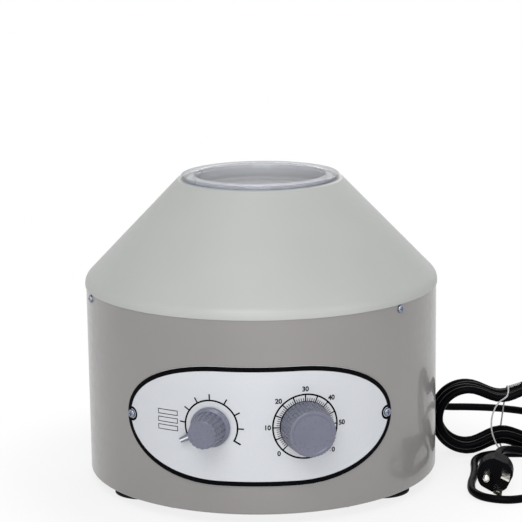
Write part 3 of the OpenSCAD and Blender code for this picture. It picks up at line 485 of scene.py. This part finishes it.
def add_world():
    """Soft light from all round, and white where the background is seen."""
    world = bpy.data.worlds.new("studio")
    bpy.context.scene.world = world
    world.use_nodes = True
    tree = world.node_tree
    dim = tree.nodes["Background"]
    dim.inputs["Color"].default_value = (0.95, 0.97, 1.0, 1)
    dim.inputs["Strength"].default_value = WORLD_LIGHT
    white = tree.nodes.new("ShaderNodeBackground")
    white.inputs["Color"].default_value = (1, 1, 1, 1)
    mix = tree.nodes.new("ShaderNodeMixShader")
    tree.links.new(seen_ray(tree), mix.inputs[0])
    tree.links.new(dim.outputs[0], mix.inputs[1])
    tree.links.new(white.outputs[0], mix.inputs[2])
    tree.links.new(mix.outputs[0], tree.nodes["World Output"].inputs["Surface"])


def floor_material():
    """Pale floor: it takes the shadow near the object and is white further out."""
    material = bpy.data.materials.new("pale_floor")
    material.use_nodes = True
    tree = material.node_tree
    tree.nodes.clear()
    coords = tree.nodes.new("ShaderNodeTexCoord")
    length = tree.nodes.new("ShaderNodeVectorMath")
    length.operation = "LENGTH"
    fade = tree.nodes.new("ShaderNodeMapRange")
    fade.interpolation_type = "SMOOTHSTEP"
    fade.inputs["From Min"].default_value = FLOOR_PALE_R
    fade.inputs["From Max"].default_value = FLOOR_WHITE_R
    fade.inputs["To Min"].default_value = FLOOR_WHITE_NEAR
    fade.inputs["To Max"].default_value = 1.0
    times = tree.nodes.new("ShaderNodeMath")
    times.operation = "MULTIPLY"
    pale = tree.nodes.new("ShaderNodeBsdfDiffuse")
    pale.inputs["Color"].default_value = (0.86, 0.86, 0.86, 1)
    white = tree.nodes.new("ShaderNodeEmission")
    mix = tree.nodes.new("ShaderNodeMixShader")
    out = tree.nodes.new("ShaderNodeOutputMaterial")
    tree.links.new(coords.outputs["Object"], length.inputs[0])
    tree.links.new(length.outputs["Value"], fade.inputs["Value"])
    tree.links.new(fade.outputs["Result"], times.inputs[0])
    tree.links.new(seen_ray(tree), times.inputs[1])
    tree.links.new(times.outputs[0], mix.inputs[0])
    tree.links.new(pale.outputs[0], mix.inputs[1])
    tree.links.new(white.outputs[0], mix.inputs[2])
    tree.links.new(mix.outputs[0], out.inputs["Surface"])
    return material


def add_floor():
    corners = [(FLOOR_REACH * x, FLOOR_REACH * y, 0) for x, y in ((-1, -1), (1, -1), (1, 1), (-1, 1))]
    floor = mesh_piece("floor", corners, [(0, 1, 2, 3)], floor_material(), smooth=False)


# mains cord

def half_turn(middle, radius, start, part):
    """Across and height on a hank's round end, which turns clockwise in three equal parts."""
    a = math.radians(start - 60 * part)
    return middle + radius * math.cos(a), radius * math.sin(a)


def hank_point(t):
    """A point of the hank after t loops: it spirals in over one loop and out over the next.

    A loop has eight parts: the run below, the left end in three, the run above, the right end in three.
    """
    radius = FOLD_R + HANK_STEP * abs(1 - t % 2)
    part = t % 1 * 8
    if part < 1:
        u, v = HANK_RUN * (1 - 2 * part), -radius
    elif part < 4:
        u, v = half_turn(-HANK_RUN, radius, -90, part - 1)
    elif part < 5:
        u, v = HANK_RUN * (2 * (part - 4) - 1), radius
    else:
        u, v = half_turn(HANK_RUN, radius, 90, part - 5)
    if abs(u) < HANK_RUN:
        v -= math.copysign(HANK_WAIST * (1 + math.cos(math.pi * u / HANK_RUN)) / 2, v)
    return HANK_AT + Vector((u, -HANK_LAYER * hank_layer(int(t), part), v))


def hank_layer(loop, part):
    """The layer that the cord is in: after the first loop it climbs one along each run below."""
    if loop == 0:
        return 0
    climb = (1 - math.cos(math.pi * min(part, 1))) / 2
    return min(loop - 1 + climb, HANK_LOOPS - 1)


def twisted_end(side):
    """One of the tie's two ends, wound round the line of TIE_TWIST from a start angle."""
    start, end = (HANK_AT + Vector(p) for p in TIE_TWIST)
    points = []
    for i in range(TIE_STEPS + 1):
        turn = side + TIE_TURNS * 2 * math.pi * i / TIE_STEPS
        around = Vector((0, math.cos(turn), math.sin(turn))) * TIE_R * TIE_SPREAD
        points.append(start.lerp(end, i / TIE_STEPS) + around)
    return curve_piece("tie_end", points, TIE_R, TIE_VINYL)


def joined_mesh(name, curves):
    """One mesh with the surfaces of several curve pieces, which it takes the place of."""
    bpy.context.view_layer.update()
    graph = bpy.context.evaluated_depsgraph_get()
    joined = bmesh.new()
    for curve in curves:
        joined.from_mesh(bpy.data.meshes.new_from_object(curve.evaluated_get(graph)))
        bpy.data.objects.remove(curve)
    mesh = bpy.data.meshes.new(name)
    joined.to_mesh(mesh)
    joined.free()
    return mesh


def add_tie():
    """A twist tie: a wire loop that bows over the front of the hank, with twisted ends on top."""
    loop = smooth_route([HANK_AT + Vector(p) for p in TIE_LOOP], 8, closed=True)
    wires = [curve_piece("tie_loop", loop, TIE_R, TIE_VINYL, closed=True)]
    wires += [twisted_end(side) for side in (0, math.pi)]
    mesh = joined_mesh("twist_tie", wires)
    mesh.materials.append(TIE_VINYL)
    mesh.shade_smooth()
    tie = bpy.data.objects.new("twist_tie", mesh)
    bpy.context.scene.collection.objects.link(tie)
    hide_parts("cord_tie")
    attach(tie, "housing")
    return tie


def add_cord(tie):
    """The whole cord as one curve, from the strain relief through the hank to the plug."""
    hank = [hank_point(i / LOOP_STEPS) for i in range(HANK_LOOPS * LOOP_STEPS + 1)]
    points = smooth_route(LEAD_ROUTE) + hank + smooth_route(TAIL_ROUTE)
    cord = curve_piece("mains_cord", points, CORD_D / 2, CORD_JACKET, resolution=5)
    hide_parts("cord_lead", "cord_hank", "cord_tail")
    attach(cord, "housing")


# prints on the control panel, drawn flat and rolled to the drum

def on_panel(x, z, radius=PRINT_R):
    """A point of the rolled panel: x runs along the drum's surface from the middle."""
    a = x / BODY_R
    return Vector((radius * math.sin(a), -radius * math.cos(a), z))


class Print:
    """Flat marks gathered in one mesh."""

    def __init__(self):
        self.verts = []
        self.faces = []

    def quad(self, corners):
        n = len(self.verts)
        self.verts += [on_panel(x, z) for x, z in corners]
        self.faces.append(tuple(range(n, n + 4)))

    def band(self, inner, outer, closed=False):
        """A strip between two lines of as many points, cut short enough to follow the drum."""
        n = len(inner)
        for i in range(n if closed else n - 1):
            ends = [Vector(line[k]) for k in (i, (i + 1) % n) for line in (inner, outer)]
            cuts = max(1, math.ceil((ends[3] - ends[1]).length / STRIP))
            for c in range(cuts):
                near, far = c / cuts, (c + 1) / cuts
                self.quad([ends[0].lerp(ends[2], near), ends[1].lerp(ends[3], near),
                           ends[1].lerp(ends[3], far), ends[0].lerp(ends[2], far)])

    def arc(self, centre, r, width, start, end, steps=96):
        """A round line; angles are in degrees, counterclockwise from the right."""
        line = [[], []]
        for i in range(steps + 1):
            a = math.radians(start + (end - start) * i / steps)
            for side, edge in zip(line, (r - width / 2, r + width / 2)):
                side.append((centre[0] + edge * math.cos(a), centre[1] + edge * math.sin(a)))
        self.band(*line)

    def tick(self, centre, angle, r0, r1, width):
        a = math.radians(angle)
        along, across = Vector((math.cos(a), math.sin(a))), Vector((-math.sin(a), math.cos(a)))
        c = Vector(centre)
        self.quad([c + along * r + across * s * width / 2
                   for r, s in ((r0, -1), (r1, -1), (r1, 1), (r0, 1))])

    def box(self, x0, z0, x1, z1, width):
        """An outlined box."""
        outer = [(x0, z0), (x1, z0), (x1, z1), (x0, z1)]
        inner = [(x0 + width, z0 + width), (x1 - width, z0 + width),
                 (x1 - width, z1 - width), (x0 + width, z1 - width)]
        self.band(inner, outer, closed=True)

    def number(self, value, x, z):
        """A plain number, centred on a point."""
        text = bpy.data.curves.new("number", "FONT")
        text.body = str(value)
        text.size = NUMBER_HEIGHT / DIGIT_SHARE
        text.align_x = "CENTER"
        text.align_y = "CENTER"
        text.offset = NUMBER_WEIGHT
        text_object = bpy.data.objects.new("number", text)
        bpy.context.scene.collection.objects.link(text_object)
        bpy.context.view_layer.update()
        mesh = text_object.evaluated_get(bpy.context.evaluated_depsgraph_get()).to_mesh()
        n = len(self.verts)
        self.verts += [on_panel(x + v.co.x, z + v.co.y) for v in mesh.vertices]
        self.faces += [tuple(n + i for i in face.vertices) for face in mesh.polygons]
        bpy.data.objects.remove(text_object)

    def piece(self, name, material):
        piece = mesh_piece(name, self.verts, self.faces, material, smooth=False)
        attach(piece, "housing")


def outline(flat, end_x, end_z, steps=192):
    """A line like the panel's outline: straight above and below, with half ellipses for ends."""
    points = []
    for i in range(steps):
        a = 2 * math.pi * (i + 0.5) / steps
        shift = flat if math.cos(a) >= 0 else -flat
        points.append((end_x * math.cos(a) + shift, PANEL_Z + end_z * math.sin(a)))
    return points


def add_border(marks):
    """The black border, with a notch round each panel screw."""
    marks.band(outline(*BORDER_INNER), outline(*BORDER_OUTER), closed=True)
    for x, turn in ((BODY_R * SCREW_AZ, 0), (-BODY_R * SCREW_AZ, -180)):
        marks.arc((x, SCREW_Z), NOTCH_R, NOTCH_WIDTH, NOTCH_START + turn, NOTCH_END + turn, steps=40)


def add_speed_scale(marks):
    """An arc with ticks outside it, and a longer tick where the scale ends."""
    dial = (-DIAL_ARC, DIAL_Z)
    marks.arc(dial, SPEED_R, SPEED_WIDTH, SPEED_END, SPEED_START)
    for angle in SPEED_TICKS:
        marks.tick(dial, angle, SPEED_R, SPEED_TICK_R, SPEED_TICK_WIDTH)
    marks.tick(dial, SPEED_END, SPEED_LAST_R0, SPEED_LAST_R1, SPEED_WIDTH)


def timer_angle(minute):
    return TIMER_START - TIMER_STEP * minute


def add_timer_scale(marks):
    """A ring round an arc, a tick for each minute between them and a number for every tenth."""
    dial = (DIAL_ARC, DIAL_Z)
    marks.arc(dial, TIMER_RING_R, TIMER_RING_WIDTH, 0, 360, steps=160)
    marks.arc(dial, TIMER_ARC_R, TIMER_ARC_WIDTH, timer_angle(TIMER_MINUTES), TIMER_START, steps=120)
    for minute in range(TIMER_MINUTES + 1):
        reach, width = LONG_TICK if minute % 5 == 0 else SHORT_TICK
        marks.tick(dial, timer_angle(minute), TIMER_TICK_R, reach, width)
    for minute in range(0, TIMER_MINUTES + 1, 10):
        a = math.radians(timer_angle(minute))
        marks.number(minute, dial[0] + NUMBER_R * math.cos(a), dial[1] + NUMBER_R * math.sin(a))


def add_boxes(marks):
    """Three empty boxes in a column, left of the speed scale."""
    for low in BOX_LOWS:
        marks.box(BOX_LEFT, low, BOX_RIGHT, low + BOX_HEIGHT, BOX_WIDTH)


def add_prints():
    marks = Print()
    add_border(marks)
    add_speed_scale(marks)
    add_timer_scale(marks)
    add_boxes(marks)
    marks.piece("panel_print", PRINT_INK)


def add_pointer_line():
    """The white line along the speed knob's pointer, a thin bar that is sunk in its top."""
    middle = on_panel(-DIAL_ARC, DIAL_Z, BODY_R)
    out = Vector((middle.x, middle.y, 0)).normalized()
    right = Vector((-out.y, out.x, 0))
    along = right * math.cos(POINTER_AZ) + Vector((0, 0, math.sin(POINTER_AZ)))
    across = out.cross(along)
    corners = ((LINE_START, -1), (LINE_END, -1), (LINE_END, 1), (LINE_START, 1))
    verts = []
    for height in (POINTER_TOP - LINE_SUNK, POINTER_TOP + LINE_PROUD):
        for reach, side in corners:
            verts.append(middle + out * height + along * reach + across * side * LINE_HALF_WIDTH)
    faces = [(3, 2, 1, 0), (4, 5, 6, 7), (0, 1, 5, 4), (1, 2, 6, 5), (2, 3, 7, 6), (3, 0, 4, 7)]
    line = mesh_piece("pointer_line", verts, faces, WHITE_INK, smooth=False)
    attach(line, "speed_knob")


bpy.context.scene.view_settings.view_transform = "Standard"
add_camera()
add_world()
for lamp in LAMPS:
    area_light(*lamp)
add_floor()
dress_nodes()
add_cord(add_tie())
add_prints()
add_pointer_line()
